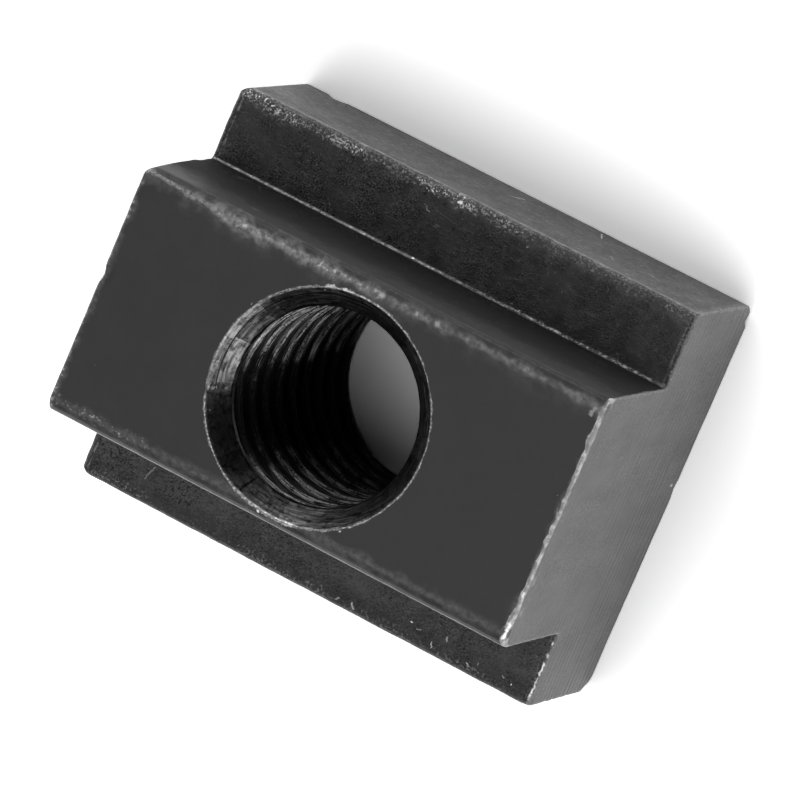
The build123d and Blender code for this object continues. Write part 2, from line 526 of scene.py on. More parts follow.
class Finish:
    """A material under way: its web, its position in mm, the gap to the nearest edge and its effects."""

    def __init__(self, name, effects):
        self.effects = effects
        self.material = bpy.data.materials.new(name)
        self.material.use_nodes = True
        tree = self.material.node_tree
        tree.nodes.clear()
        self.web = Web(tree)
        coordinates = self.web.add("ShaderNodeTexCoord").outputs["Object"]
        self.position = self.web.scaled(coordinates, 1 / MM)
        self.x, self.y, self.z = self.web.split(self.position)
        self.gap = self.web.add("ShaderNodeAttribute", attribute_name=EDGE_GAP).outputs["Fac"]

    def wear(self, gap, width, raggedness, detail, spots=0.0):
        """Mask of bare metal within a ragged width of where the gap is 0."""
        return self.web.effect(
            self.effects["wear"], position=self.position, gap=gap, width=width, raggedness=raggedness,
            detail=detail, spots=spots)["Mask"]

    def band(self, gap, width, fineness):
        """Softly rubbed metal where the gap is 0: its Mask and its Beads."""
        return self.web.effect(
            self.effects["band"], position=self.position, gap=gap, width=width, fineness=fineness)

    def grain(self, fineness, cloud, evenness=0.0, stretch=None):
        """Grain of the oxide: its Height, Tone, Specks and Hollows."""
        position = self.web.vector("MULTIPLY", self.position, stretch) if stretch else self.position
        return self.web.effect(
            self.effects["grain"], position=position, fineness=fineness, cloud=cloud, evenness=evenness)

    def clouded(self, grain, first, last):
        """A number that drifts from first to last with the grain's slow tone."""
        return self.web.ramp(grain["Tone"], 0.3, 0.7, first, last)

    def pits(self, density, size, share, shift=None):
        """Mask of small pits or grits. A shift gives others than the same pits again."""
        position = self.web.vector("ADD", self.position, shift) if shift else self.position
        return self.web.effect(
            self.effects["pits"], position=position, density=density, size=size, share=share)["Mask"]

    def scratches(self, scale, thickness, share):
        """Mask of hair scratches."""
        return self.web.effect(
            self.effects["scratches"], position=self.position, scale=scale, thickness=thickness,
            share=share)["Mask"]

    def lines(self, across, along, density, length):
        """Height of the lines that a tool leaves."""
        return self.web.effect(
            self.effects["lines"], across=across, along=along, density=density, length=length)["Height"]

    def strokes(self, scars):
        """Each scar's mask with its strength."""
        return [(self.web.effect(self.effects["stroke"], position=self.position, start=start, end=end,
                                 width=width)["Mask"], strength) for start, end, width, strength in scars]

    def most(self, *masks):
        """The strongest of several masks, each with its weight."""
        weighed = [self.web.times(mask, weight) for mask, weight in masks]
        strongest = weighed[0]
        for mask in weighed[1:]:
            strongest = self.web.math("MAXIMUM", strongest, mask)
        return strongest

    def gap_to(self, value, place):
        """Distance of a value from a place on the same scale."""
        return self.web.math("ABSOLUTE", self.web.minus(value, place))

    def polar(self, hole):
        """Radius in mm from the hole's axis, and the turn round it from +X as a share of the circle."""
        web = self.web
        x = web.minus(self.x, hole.hole_x / MM)
        y = web.minus(self.y, hole.hole_y / MM)
        turn = web.math("DIVIDE", web.math("ARCTAN2", y, x), math.tau)
        return web.hypot(x, y), web.math("FRACT", web.plus(turn, 1.0))

    def sectors(self, turn, stops, kind="CONSTANT"):
        """How light each sector round the hole is painted, or how strong its wear is. Stops are pairs of a
        start angle, in degrees from +X, and that value. The turn is a share of the circle."""
        node = self.web.node("ShaderNodeValToRGB", {0: self.web.math("FRACT", turn)})
        ramp = node.color_ramp
        ramp.interpolation = kind
        while len(ramp.elements) < len(stops):
            ramp.elements.new(1.0)
        for element, (start, light) in zip(ramp.elements, stops):
            element.position = start / 360.0
            element.color = (light, light, light, 1.0)
        return node.outputs[0]

    def rubbed(self, worn, oxide, bare):
        """The oxide, bare steel where worn is 1, and near-white steel for a painted glint where it is 2."""
        colour = self.web.blend(worn, oxide, tuple(bare))
        return self.web.blend(self.web.math("SUBTRACT", worn, 1.0, clamp=True), colour, BRIGHT_STEEL)

    def close(self, colour, metallic, roughness, height, relief_mm, specular=0.5):
        """Ends the material in one Principled BSDF. Relief is the height map's full depth in mm."""
        web = self.web
        bump = web.node("ShaderNodeBump", {"Height": height, "Strength": 1.0, "Distance": relief_mm * MM})
        surface = web.node("ShaderNodeBsdfPrincipled", {
            "Base Color": colour, "Metallic": metallic, "Roughness": roughness,
            "Specular IOR Level": specular, "Normal": bump.outputs[0]})
        web.feed(web.add("ShaderNodeOutputMaterial").inputs["Surface"], surface.outputs[0])
        return self.material


def rim_radius(hole):
    """Radius of the countersink at the height of the neck's flat top."""
    return hole.bore_radius + hole.mouth_depth


def neck_oxide_material(finish, effects, nut, hole):
    """Smooth black oxide of the neck's top. Grains of bare steel line its edges and the hole's rim. Its
    front rounding is painted darker as painted shade, with a pale line on it that is partly rubbed steel
    and partly a painted highlight.
    """
    make = Finish("neck_oxide", effects)
    web = make.web
    half_width, half_length = nut.neck_width / 2 / MM, nut.length / 2 / MM
    grain = make.grain(fineness=8.0, cloud=0.5)

    # The hole's rim: a beaded line, and burrs close to it
    radius, turn = make.polar(hole)
    strength = make.sectors(turn, RIM_SECTORS)
    rim_gap = make.gap_to(radius, rim_radius(hole) / MM)
    rim = make.wear(rim_gap, width=web.times(strength, 0.115), raggedness=0.9, detail=2.4, spots=0.7)
    burrs = web.times(make.pits(density=1.6, size=0.17, share=0.65), web.ramp(rim_gap, 0.1, 0.22, 1.0, 0.0))

    # The back edge: a rubbed line that leaves the left corner, drifts inwards and fades to the right
    drift = web.ramp(make.x, 0.8 - half_length, 6.0 - half_length, 0.3, 0.56, smooth=False)
    back_gap = make.gap_to(web.minus(half_width, make.y), drift)
    width = web.times(web.ramp(make.x, -6.0, 3.0, 0.66, 0.46), web.ramp(make.x, -12.5, -8.0, 0.45, 1.0))
    back = make.band(back_gap, width=width, fineness=web.ramp(make.x, -6.0, 3.0, 3.4, 2.6))
    cloud = make.band(back_gap, width=0.95, fineness=3.0)["Mask"]
    fading = web.ramp(make.x, -9.0, 6.0, 1.0, 0.5)
    thread = make.wear(back_gap, width=0.13, raggedness=0.9, detail=2.4, spots=0.95)
    thread = web.times(thread, web.ramp(make.x, -12.0, -6.0, 1.0, 0.0))

    # The front edge: a faint band behind it, speckled on the left, and a pale line on its rounding that is
    # partly rubbed steel and partly a painted highlight
    front = make.band(make.gap_to(make.y, 0.72 - half_width), width=0.5, fineness=3.4)["Mask"]
    speckled = web.times(front, grain["Specks"], web.ramp(make.x, -7.0, 3.0, 1.0, 0.15))
    on_front = web.ramp(make.y, 0.45 - half_width, 0.75 - half_width, 1.0, 0.0)
    line_gap = web.plus(make.gap_to(make.z, (nut.height - nut.neck_front_radius * 0.7) / MM),
                        web.ramp(make.y, -1.0, 1.0, 0.0, FAR_FROM_EDGES))
    line = make.wear(line_gap, width=0.26, raggedness=0.4, detail=0.8, spots=0.15)

    end = make.band(web.minus(half_length, web.math("ABSOLUTE", make.x)), width=0.42, fineness=4.0)
    bare = make.wear(make.gap, width=0.1, raggedness=0.9, detail=2.6, spots=0.5)
    worn = make.most(
        (web.times(back["Mask"], fading), 0.65), (web.times(back["Beads"], fading), 1.1),
        (web.times(cloud, fading), 0.16), (thread, 0.9), (front, 0.16), (speckled, 0.7), (line, 0.42),
        (end["Mask"], 0.3), (end["Beads"], 1.0), (bare, 0.12), (rim, strength), (burrs, 1.7),
        *make.strokes(NECK_SCARS))
    # The front rounding is darker: painted shade
    tone = web.times(make.clouded(grain, 1.5, 1.75), web.ramp(on_front, 0.0, 1.0, 1.0, 0.55))
    colour = make.rubbed(worn, web.scaled(tuple(finish.oxide), tone), finish.bare)
    on_back = web.ramp(make.y, half_width - 0.45, half_width - 0.3, 0.0, 0.2)
    roughness = web.plus(make.clouded(grain, 0.37, 0.42), on_back)
    height = web.plus(web.times(grain["Height"], 0.25), web.times(worn, 0.3))
    return make.close(colour, worn, roughness, height, relief_mm=0.02, specular=0.2)


def neck_side_material(finish, effects, nut):
    """Sides of the neck: smooth and a little rubbed above, rough towards the root and darker there, which
    is painted shade in the corner by the shoulder.
    """
    make = Finish("neck_side", effects)
    web = make.web
    foot = nut.flange_height / MM
    grain = make.grain(fineness=8.0, cloud=0.45)
    wander = web.times(web.minus(grain["Tone"], 0.5), 3.2)
    upper = web.ramp(web.plus(make.z, wander), foot + 4.2, foot + 7.2)
    rough = web.ramp(make.z, foot + 0.6, foot + 3.0, 1.0, 0.3)
    bare = make.wear(make.gap, width=0.12, raggedness=0.9, detail=2.6, spots=0.5)
    hair = make.scratches(scale=0.8, thickness=0.006, share=0.3)
    worn = make.most((bare, 0.4), (hair, 0.15), (web.times(grain["Specks"], rough), 0.07))
    # Darker towards the root: painted shade in the corner by the shoulder
    oxide = web.blend(upper, grey(0.005), tuple(finish.oxide))
    oxide = web.blend(web.times(grain["Hollows"], 0.6), oxide, grey(0.002))
    colour = make.rubbed(worn, oxide, finish.bare)
    roughness = web.between(upper, 0.8, 0.48)
    height = web.plus(web.times(grain["Height"], rough), worn)
    return make.close(colour, worn, roughness, height, relief_mm=0.03, specular=0.22)


def shoulder_scale_material(finish, effects, nut):
    """Rough black scale of the shoulders, with pits, grit and scratches. The back shoulder is rubbed harder
    than the front one, above all along the left half of its outer edge. Painted light and shade: the front
    one darker beside the neck, a line on the outer rounding that is partly a painted highlight, and a dark
    line of painted shade beside the sawn ends."""
    make = Finish("shoulder_scale", effects)
    web = make.web
    half_flange = nut.flange_width / 2 / MM
    is_back = web.ramp(make.y, -1.0, 1.0)

    def sides(front, back):
        """One number for the front shoulder and another for the back one."""
        return web.between(is_back, front, back)

    def along(low, high, first, last):
        """A number that changes along the nut."""
        return web.ramp(make.x, low, high, first, last)

    grain = make.grain(fineness=sides(9.5, 10.0), cloud=0.8, evenness=sides(0.4, 0.1))
    smear = web.noise(web.vector("MULTIPLY", make.position, (0.5, 1.6, 1.0)), 1.3, 4.0, 0.7, 0.8)
    smear = web.ramp(smear, 0.55, 0.72)
    pits = make.pits(density=3.2, size=0.2, share=0.45)
    grit = make.pits(density=4.0, size=0.16, share=sides(0.3, 0.14), shift=(7.0, 3.0, 9.0))
    hair = make.scratches(scale=1.3, thickness=0.009, share=0.33)
    bare = make.wear(make.gap, width=0.16, raggedness=1.0, detail=2.6, spots=0.8)

    # Outer edge: a band with beads, a crust of grains in it, and a line on the rounding that is partly
    # rubbed steel and partly a painted highlight
    from_edge = web.minus(half_flange, web.math("ABSOLUTE", make.y))
    band = make.band(make.gap_to(from_edge, 0.35), width=0.75, fineness=6.5)
    beads = web.times(band["Beads"], sides(0.35, along(-2.0, 6.0, 1.8, 0.45)))
    crust = make.wear(make.gap_to(from_edge, 0.42), width=0.36, raggedness=0.8, detail=3.0, spots=1.0)
    thick = web.ramp(web.noise(make.position, 0.9, 2.0, 0.6), 0.36, 0.62, 0.25, 1.6)
    crust = web.times(crust, crust, thick, along(-3.0, 5.0, 1.0, 0.2), is_back)
    highlight_line_level = (nut.flange_height - nut.shoulder_radius * 0.85) / MM
    lip_wear_and_highlight = make.wear(make.gap_to(make.z, highlight_line_level), width=0.16, raggedness=0.9, detail=1.2, spots=0.4)

    # Ends: a band with beads, a thin broken ridge, and a dark line of painted shade beside the sawn edge
    from_end = web.minus(nut.length / 2 / MM, web.math("ABSOLUTE", make.x))
    end = make.band(from_end, width=0.55, fineness=6.5)
    ridge = make.wear(make.gap_to(from_end, 0.3), width=0.07, raggedness=0.9, detail=1.3, spots=0.95)
    ledge_shade_gap = make.gap_to(from_end, sides(0.3, 0.14))
    ledge_shade = make.wear(ledge_shade_gap, width=0.16, raggedness=0.9, detail=1.2, spots=0.3)

    # Root: bare steel on the rounding under the neck, broken up to the right
    root_gap = web.hypot(web.minus(web.math("ABSOLUTE", make.y), nut.neck_width / 2 / MM + 0.07),
                         web.minus(make.z, nut.flange_height / MM + 0.06))
    root = make.wear(root_gap, width=along(-2.0, 5.0, 0.11, 0.13), raggedness=along(-2.0, 5.0, 0.6, 0.95),
                     detail=2.0, spots=along(-2.0, 5.0, 0.55, 0.95))

    rubbed = sides(0.3, 1.0)
    worn = make.most(
        (bare, sides(0.25, 0.4)), (web.times(hair, rubbed), 0.2), (web.times(smear, rubbed), 0.09),
        (grit, 0.45), (grain["Specks"], sides(0.07, along(-3.0, 5.0, 0.15, 0.06))),
        (web.times(band["Mask"], rubbed), 0.15), (beads, 1.0), (crust, 1.0), (lip_wear_and_highlight, sides(0.35, 0.6)),
        (end["Mask"], 0.15), (end["Beads"], 0.7), (ridge, along(-1.0, 1.0, 0.45, 0.3)),
        (root, along(-2.0, 5.0, 0.85, 0.7)), *make.strokes(SHOULDER_SCARS + EDGE_SCARS))

    # The scale is palest in the middle of the front shoulder and beside the back root. The front one is
    # darker beside the neck: painted shade.
    front_tone = web.times(web.ramp(make.y, -10.6, -9.4, 0.9, 2.2), web.ramp(make.y, -8.0, -7.1, 1.0, 0.7))
    back_tone = web.ramp(make.y, 7.2, 10.0, 2.0, 1.5)
    tone = web.times(make.clouded(grain, 0.85, 1.75), sides(front_tone, back_tone))
    holes = web.times(make.pits(density=2.2, size=0.3, share=0.5), web.minus(1.0, is_back),
                      web.ramp(make.y, 1.2 - half_flange, 2.4 - half_flange))
    dark = make.most(
        (pits, 0.8), (holes, 1.0), (ledge_shade, 1.0), (web.times(grain["Hollows"], band["Mask"]), 1.3),
        (grain["Hollows"], sides(along(-6.0, 0.0, 0.9, 0.6), along(-3.0, 5.0, 0.9, 0.5))))
    scale = web.blend(dark, web.scaled(tuple(finish.scale), tone), grey(0.001))
    colour = make.rubbed(worn, scale, finish.bare)
    height = web.plus(web.minus(grain["Height"], web.times(pits, 0.5)), web.times(grit, 0.6))
    return make.close(colour, worn, make.clouded(grain, 0.4, 0.54), height, relief_mm=0.08, specular=0.25)


def rolled_side_material(finish, effects):
    """Flange sides and underside: fine grain drawn a little along the bar, and a thin line along their
    edges that is partly rubbed steel and partly a painted highlight.
    """
    make = Finish("rolled_side", effects)
    web = make.web
    grain = make.grain(fineness=7.5, cloud=0.7, evenness=0.6, stretch=(0.9, 1.0, 0.7))
    lines = make.lines(make.z, make.x, density=3.5, length=1.6)
    hair = make.scratches(scale=0.6, thickness=0.005, share=0.35)
    band = make.band(make.gap, width=0.6, fineness=6.5)
    # Thin line along the edges: partly rubbed steel, partly a painted highlight
    line = make.wear(make.gap, width=0.07, raggedness=0.7, detail=1.5, spots=0.5)
    worn = make.most((band["Mask"], 0.26), (band["Beads"], 0.7), (hair, 0.4), (grain["Specks"], 0.15),
                     (line, 0.6), *make.strokes(SIDE_SCARS))
    dark = make.most((grain["Hollows"], 1.0), (web.ramp(lines, 0.36, 0.5, 1.0, 0.0), 0.25))
    oxide = web.scaled(tuple(finish.oxide), make.clouded(grain, 0.8, 1.2))
    colour = make.rubbed(worn, web.blend(dark, oxide, grey(0.002)), finish.bare)
    height = web.plus(grain["Height"], web.times(lines, 0.5))
    return make.close(colour, worn, make.clouded(grain, 0.4, 0.5), height, relief_mm=0.05, specular=0.3)


def sawn_end_material(finish, effects, nut):
    """Sawn ends: lines across the bar, deepest low down and in front, and ragged bare edges."""
    make = Finish("sawn_end", effects)
    web = make.web
    top = nut.height / MM
    grain = make.grain(fineness=8.0, cloud=0.6, stretch=(1.0, 1.0, 0.5))

    # Strokes of the saw: a wave whose pitch wanders and which is strong only in patches
    wobble = web.noise(web.vector("MULTIPLY", make.position, (0.0, 0.12, 0.5)), 1.0, 2.0, 0.5)
    phase = web.plus(web.times(make.z, math.tau / SAW_PITCH_MM), web.times(wobble, 9.0))
    patches = web.noise(web.vector("MULTIPLY", make.position, (0.0, 0.22, 1.1)), 1.0, 2.0, 0.5)
    wave = web.times(web.math("SINE", phase), web.ramp(patches, 0.4, 0.6, 0.07, 0.3))
    coarse = make.lines(make.z, make.y, density=2.4, length=10.0)
    fine = make.lines(make.z, make.y, density=5.0, length=6.0)
    lines = web.plus(web.plus(web.times(coarse, 0.35), web.times(fine, 0.3)),
                     web.times(web.plus(wave, 0.5), 0.38))
    deep = web.times(web.ramp(make.z, 5.0, 12.0, 1.0, 0.25), web.ramp(make.y, -3.0, 6.0, 1.0, 0.4))
    groove = web.times(web.ramp(lines, 0.3, 0.55, 1.0, 0.0), deep, web.ramp(make.y, -9.0, -3.0, 0.9, 0.65))

    bare = make.wear(make.gap, width=0.16, raggedness=0.9, detail=2.6, spots=0.6)
    top_bare = make.wear(make.gap, width=0.3, raggedness=0.9, detail=1.1, spots=0.5)
    top_bare = web.times(top_bare, web.ramp(make.z, top - 1.2, top - 0.7))
    grit = make.pits(density=1.3, size=0.1, share=0.3)
    worn = make.most((bare, 0.4), (top_bare, 1.0), (grain["Specks"], 0.09), (grit, 0.3),
                     *make.strokes(END_SCARS + EDGE_SCARS))
    tone = web.times(make.clouded(grain, 2.0, 2.35), web.ramp(make.y, -9.0, -3.0, 1.15, 1.0),
                     web.ramp(make.y, 3.0, 9.0, 1.0, 1.1))
    dark = make.most((groove, 1.0), (grain["Hollows"], 0.6))
    oxide = web.blend(dark, web.scaled(tuple(finish.oxide), tone), grey(0.003))
    colour = make.rubbed(worn, oxide, finish.bare)
    height = web.plus(web.times(lines, deep, 4.0), grain["Height"])
    return make.close(colour, worn, make.clouded(grain, 0.38, 0.46), height, relief_mm=0.024)


def cut_thread_material(finish, effects, hole):
    """Cut thread: fine lines along the helix where the tap tore it, brighter by sector round the hole as
    painted reflections of the lamps, and painted shade in the roots, on the crests and deep down.
    """
    make = Finish("cut_thread", effects)
    web = make.web
    bore = hole.bore_radius / MM
    radius, turn = make.polar(hole)
    helix = web.minus(web.math("DIVIDE", make.z, hole.pitch / MM), turn)
    lines = make.lines(web.plus(radius, web.times(helix, 2.5)), turn, density=11.0, length=0.04)
    pits = make.pits(density=2.6, size=0.24, share=0.4)
    grain = make.grain(fineness=9.0, cloud=0.9, evenness=1.0)
    # Roots and crests darkened: painted shade
    root = web.ramp(radius, bore + 0.15, bore + 0.3)
    crest = web.ramp(radius, bore + 0.01, bore + 0.04, 1.0, 0.0)
    swing = web.times(web.minus(grain["Tone"], 0.5), 0.16)
    # Brighter lines only in some sectors round the hole, fading deep down: painted reflections of the lamps
    # and painted shade in the hole
    painted_sector_light = make.sectors(web.plus(turn, swing), THREAD_PAINTED_LIGHT, "EASE")
    torn_and_painted_light = web.times(web.ramp(lines, 0.36, 0.6), painted_sector_light, web.ramp(make.z, 1.5, 9.0, 0.25, 1.0))
    cut = web.blend(torn_and_painted_light, grey(0.008), tuple(share * 5.0 for share in finish.cut))
    dark = make.most((root, 0.93), (crest, 0.6), (pits, 0.95), (grain["Hollows"], 0.85))
    colour = web.blend(dark, cut, grey(0.005))
    roughness = web.math("MAXIMUM", web.ramp(lines, 0.35, 0.65, 0.5, 0.3), web.times(crest, 0.9))
    height = web.plus(lines, web.times(grain["Height"], 0.5))
    return make.close(colour, 0.85, roughness, height, relief_mm=0.05)


def countersink_material(finish, effects, hole):
    """Countersink: turned lines round the mouth, chatter across it, painted light and shade by sector round
    it for the lamps' reflections, and bare beads at the rim.
    """
    make = Finish("countersink", effects)
    web = make.web
    radius, turn = make.polar(hole)
    grain = make.grain(fineness=6.0, cloud=2.2)
    lines = make.lines(radius, turn, density=7.0, length=0.04)
    chatter = make.lines(turn, radius, density=32.0, length=1.5)

    # Painted light and shade on the cut steel, by sector and apart for the inner part of the cone: the
    # lamps' reflections, and in part the tool's chatter facets
    swing = web.times(web.minus(chatter, 0.5), 0.02)
    painted_sector_light = make.sectors(web.plus(turn, swing), COUNTERSINK_PAINTED_LIGHT)
    ring = web.between(web.ramp(make.gap, 0.42, 0.56), 0.75, make.sectors(turn, INNER_PAINTED_LIGHT))
    patch = web.ramp(grain["Tone"], 0.36, 0.5, 0.35, 1.0)
    light = web.times(painted_sector_light, web.ramp(lines, 0.35, 0.65, 0.55, 1.2), patch, ring)
    cut = web.blend(light, grey(0.002), tuple(share * 2.6 for share in finish.cut))

    # A step that the tool left halfway down, round the first half of the circle
    step = make.wear(make.gap_to(make.gap, 0.5), width=0.05, raggedness=0.6, detail=1.5)
    step = web.times(step, web.ramp(turn, 0.55, 0.53))
    cut = web.blend(make.most((step, 0.7), (grain["Hollows"], 0.5)), cut, grey(0.004))

    bead = make.wear(make.gap, width=0.13, raggedness=0.9, detail=2.4, spots=0.7)
    bead = web.times(bead, make.sectors(turn, RIM_SECTORS))
    foot = make.wear(make.gap_to(make.gap, 2.05), width=0.2, raggedness=0.8, detail=2.0, spots=0.65)
    worn = make.most((bead, 1.0), (foot, 2.0), (grain["Specks"], 0.05), *make.strokes(MOUTH_SCARS))
    colour = make.rubbed(worn, cut, finish.bare)
    height = web.minus(web.plus(lines, chatter), step)
    return make.close(colour, web.minus(1.0, foot), web.ramp(lines, 0.3, 0.7, 0.4, 0.28), height,
                      relief_mm=0.04)


def nut_materials(finish, nut, hole):
    """The nut's finishes, in slot order."""
    effects = {"wear": edge_wear_effect(), "band": rubbed_band_effect(), "grain": grain_effect(),
               "pits": pits_effect(), "scratches": scratches_effect(), "lines": tool_lines_effect(),
               "stroke": stroke_effect()}
    return [
        neck_oxide_material(finish, effects, nut, hole),
        neck_side_material(finish, effects, nut),
        shoulder_scale_material(finish, effects, nut),
        rolled_side_material(finish, effects),
        sawn_end_material(finish, effects, nut),
        cut_thread_material(finish, effects, hole),
        countersink_material(finish, effects, hole),
    ]


# --------------------------------------------------------------------------------------------------
# Threaded wall
# --------------------------------------------------------------------------------------------------

# Shares of the pitch in an ISO thread, from the middle of a crest to the middle of a root
CREST_HALF = 2 / 32
FLANK = 12 / 32

# Turn of the thread that brings a crest down to the outlet at the back left, as a share of the pitch
THREAD_TURN = 0.3125

# Where the countersink's finish ends, and where the thread starts and is full, in countersink depths
END_OF_MOUTH = 1.5
START_OF_THREAD = 1.3
FULL_THREAD = 2.1

# Points nearer than this are one, and a point this little off the cone is still on it
MERGE_DISTANCE = 2e-6
CONE_SLACK = 0.02 * MM

WALL_INPUTS = {
    "Bore radius": "NodeSocketFloat", "Pitch": "NodeSocketFloat", "Thread depth": "NodeSocketFloat",
    "Height": "NodeSocketFloat", "Mouth depth": "NodeSocketFloat", "Rim radius": "NodeSocketFloat",
    "Outlet radius": "NodeSocketFloat", "Centre": "NodeSocketVector", "Segments": "NodeSocketInt",
    "Rows in a pitch": "NodeSocketInt", "Thread finish": "NodeSocketMaterial",
    "Mouth finish": "NodeSocketMaterial",
}


def threaded_wall_tree():
    """Geometry nodes for the wall of a countersunk tapped hole. Its rows of faces follow the helix, so
    the thread's crests and roots are clean, and the two chamfers cut through them."""
    tree = bpy.data.node_groups.new("Threaded wall", "GeometryNodeTree")
    for name, kind in WALL_INPUTS.items():
        tree.interface.new_socket(name, in_out="INPUT", socket_type=kind)
    tree.interface.new_socket("Wall", in_out="OUTPUT", socket_type="NodeSocketGeometry")
    web = Web(tree)
    given = web.add("NodeGroupInput").outputs

    turns = web.plus(web.math("DIVIDE", given["Height"], given["Pitch"]), 2.0)
    rows = web.math("CEIL", web.times(turns, given["Rows in a pitch"]))
    sheet = web.node("GeometryNodeMeshGrid", {
        "Size X": 1.0, "Size Y": rows,
        "Vertices X": web.plus(given["Segments"], 1.0), "Vertices Y": web.plus(rows, 1.0)})
    place = web.split(web.add("GeometryNodeInputPosition").outputs[0])
    round_share = web.plus(place[0], 0.5)
    row = web.plus(place[1], web.math("DIVIDE", rows, 2.0))
    phase = web.math("DIVIDE", row, given["Rows in a pitch"])
    rise = web.times(web.plus(web.plus(phase, round_share), -1.0 - THREAD_TURN), given["Pitch"])
    level = web.math("MINIMUM", web.math("MAXIMUM", rise, 0.0), given["Height"])

    # Distance from the nearest crest's middle, in pitches
    kept_phase = web.minus(web.math("DIVIDE", level, given["Pitch"]), round_share)
    kept_phase = web.plus(kept_phase, 1.0 + THREAD_TURN)
    off_crest = web.math("PINGPONG", kept_phase, 0.5)
    cut = web.math("DIVIDE", web.minus(off_crest, CREST_HALF), FLANK, clamp=True)
    down = web.minus(given["Height"], level)
    grown = web.ramp(down, web.times(given["Mouth depth"], START_OF_THREAD),
                     web.times(given["Mouth depth"], FULL_THREAD))
    depth = web.times(given["Thread depth"], grown)
    thread = web.math("MULTIPLY_ADD", cut, depth, given["Bore radius"])
    mouth = web.minus(given["Rim radius"], down)
    outlet = web.minus(given["Outlet radius"], level)
    radius = web.math("MAXIMUM", thread, web.math("MAXIMUM", mouth, outlet))
    turn = web.times(round_share, math.tau)
    wall = web.node("GeometryNodeSetPosition", {
        "Geometry": sheet.outputs["Mesh"],
        "Position": web.vector("ADD", given["Centre"], web.join(
            web.times(radius, web.math("COSINE", turn)),
            web.times(radius, web.math("SINE", turn)), level))})
    joined = web.node("GeometryNodeMergeByDistance", {
        "Geometry": wall.outputs[0], "Distance": MERGE_DISTANCE})
    whole = web.node("GeometryNodeRealizeInstances", {0: joined.outputs[0]})
    threaded = web.node("GeometryNodeSetMaterial", {
        "Geometry": whole.outputs[0], "Material": given["Thread finish"]})

    # The countersink's finish covers the cone and the plain land under it
    made = web.add("GeometryNodeInputPosition").outputs[0]
    now = web.split(web.vector("SUBTRACT", made, given["Centre"]))
    down = web.minus(given["Height"], now[2])
    inside_cone = web.minus(web.minus(given["Rim radius"], down), web.hypot(now[0], now[1]))
    on_cone = web.math("GREATER_THAN", inside_cone, -CONE_SLACK)
    on_land = web.math("LESS_THAN", down, web.times(given["Mouth depth"], END_OF_MOUTH))
    in_mouth = web.math("MAXIMUM", on_cone, on_land)
    finished = web.node("GeometryNodeSetMaterial", {
        "Geometry": threaded.outputs[0], "Selection": in_mouth, "Material": given["Mouth finish"]})
    web.feed(web.add("NodeGroupOutput").inputs[0], finished.outputs[0])
    return tree


def plain_mesh(name, tree, values):
    """Runs a geometry node tree once with those inputs and returns its result as a plain mesh."""
    holder = bpy.data.objects.new(name, bpy.data.meshes.new(name))
    bpy.context.scene.collection.objects.link(holder)
    modifier = holder.modifiers.new(name, "NODES")
    modifier.node_group = tree
    sockets = {item.name: item.identifier for item in tree.interface.items_tree if item.in_out == "INPUT"}
    for socket, value in values.items():
        modifier[sockets[socket]] = value
    bpy.context.view_layer.update()
    made = bpy.data.meshes.new_from_object(holder.evaluated_get(bpy.context.evaluated_depsgraph_get()))
    holder.modifiers.remove(modifier)
    bpy.data.objects.remove(holder)
    return made


def thread_depth(pitch):
    """Depth of an ISO thread in a nut: five eighths of its sharp triangle."""
    return 5 / 8 * math.sqrt(3) / 2 * pitch


def threaded_wall(nut, hole, materials):
    """The wall of the tapped hole as a plain mesh."""
    return plain_mesh("threaded_wall", threaded_wall_tree(), {
        "Bore radius": hole.bore_radius, "Pitch": hole.pitch, "Thread depth": thread_depth(hole.pitch),
        "Height": nut.height, "Mouth depth": hole.mouth_depth, "Rim radius": rim_radius(hole),
        "Outlet radius": hole.bore_radius + hole.outlet_depth,
        "Centre": (hole.hole_x, hole.hole_y, 0.0), "Segments": hole.segments,
        "Rows in a pitch": hole.rows, "Thread finish": materials[CUT_THREAD],
        "Mouth finish": materials[COUNTERSINK]})


# --------------------------------------------------------------------------------------------------
# Block
# --------------------------------------------------------------------------------------------------

# Steps in from an edge that keep its shading beside it: along a face, and on a sawn end past its break
SUPPORTS_MM = (0.08, 0.2, 0.38)
END_SUPPORTS_MM = (0.05, 0.12)

# Spacing of the rings of points along the bar, and steps in the arc of a sawn edge
STATION_MM = 0.18
BREAK_STEPS = 4

# How far wear has rubbed the bar's edges down, at most, and how far from an edge it fades out
RUB_MM = 0.04
RUB_REACH_MM = 0.35

# The break of a sawn edge as a share of its mean: its least and most, what is added at each end of the
# neck's top, and what is added there per mm past a place near the front corner at +X
LEAST_BREAK, MOST_BREAK = 0.35, 4.2
TOP_BREAK = {1: 0.7, -1: -0.4}
CORNER_BREAK, CORNER_Y_MM = 0.5, -4.5


class SectionPoint:
    """One point of the T section: its place, its outward direction, its gap to an edge and its face."""

    def __init__(self, place, outward, gap, face):
        self.place, self.outward, self.gap, self.face = place, outward, gap, face


def section_corners(nut):
    """The T's corners in order, seen from the +X end and starting at the underside's front edge:
    place, radius, arc steps, and the face that follows with its point spacing in mm."""
    half_flange, half_neck = nut.flange_width / 2, nut.neck_width / 2
    return [
        ((-half_flange, 0.0), nut.underside_radius, 10, "underside", 0.6),
        ((half_flange, 0.0), nut.underside_radius, 10, "back_side", 0.35),
        ((half_flange, nut.flange_height), nut.shoulder_radius, 7, "back_shoulder", 0.22),
        ((half_neck, nut.flange_height), nut.root_radius, 5, "neck_back", 0.35),
        ((half_neck, nut.height), nut.neck_back_radius, 8, "neck_top", 0.22),
        ((-half_neck, nut.height), nut.neck_front_radius, 10, "neck_front", 0.35),
        ((-half_neck, nut.flange_height), nut.root_radius, 5, "front_shoulder", 0.22),
        ((-half_flange, nut.flange_height), nut.shoulder_radius, 7, "front_side", 0.35),
    ]


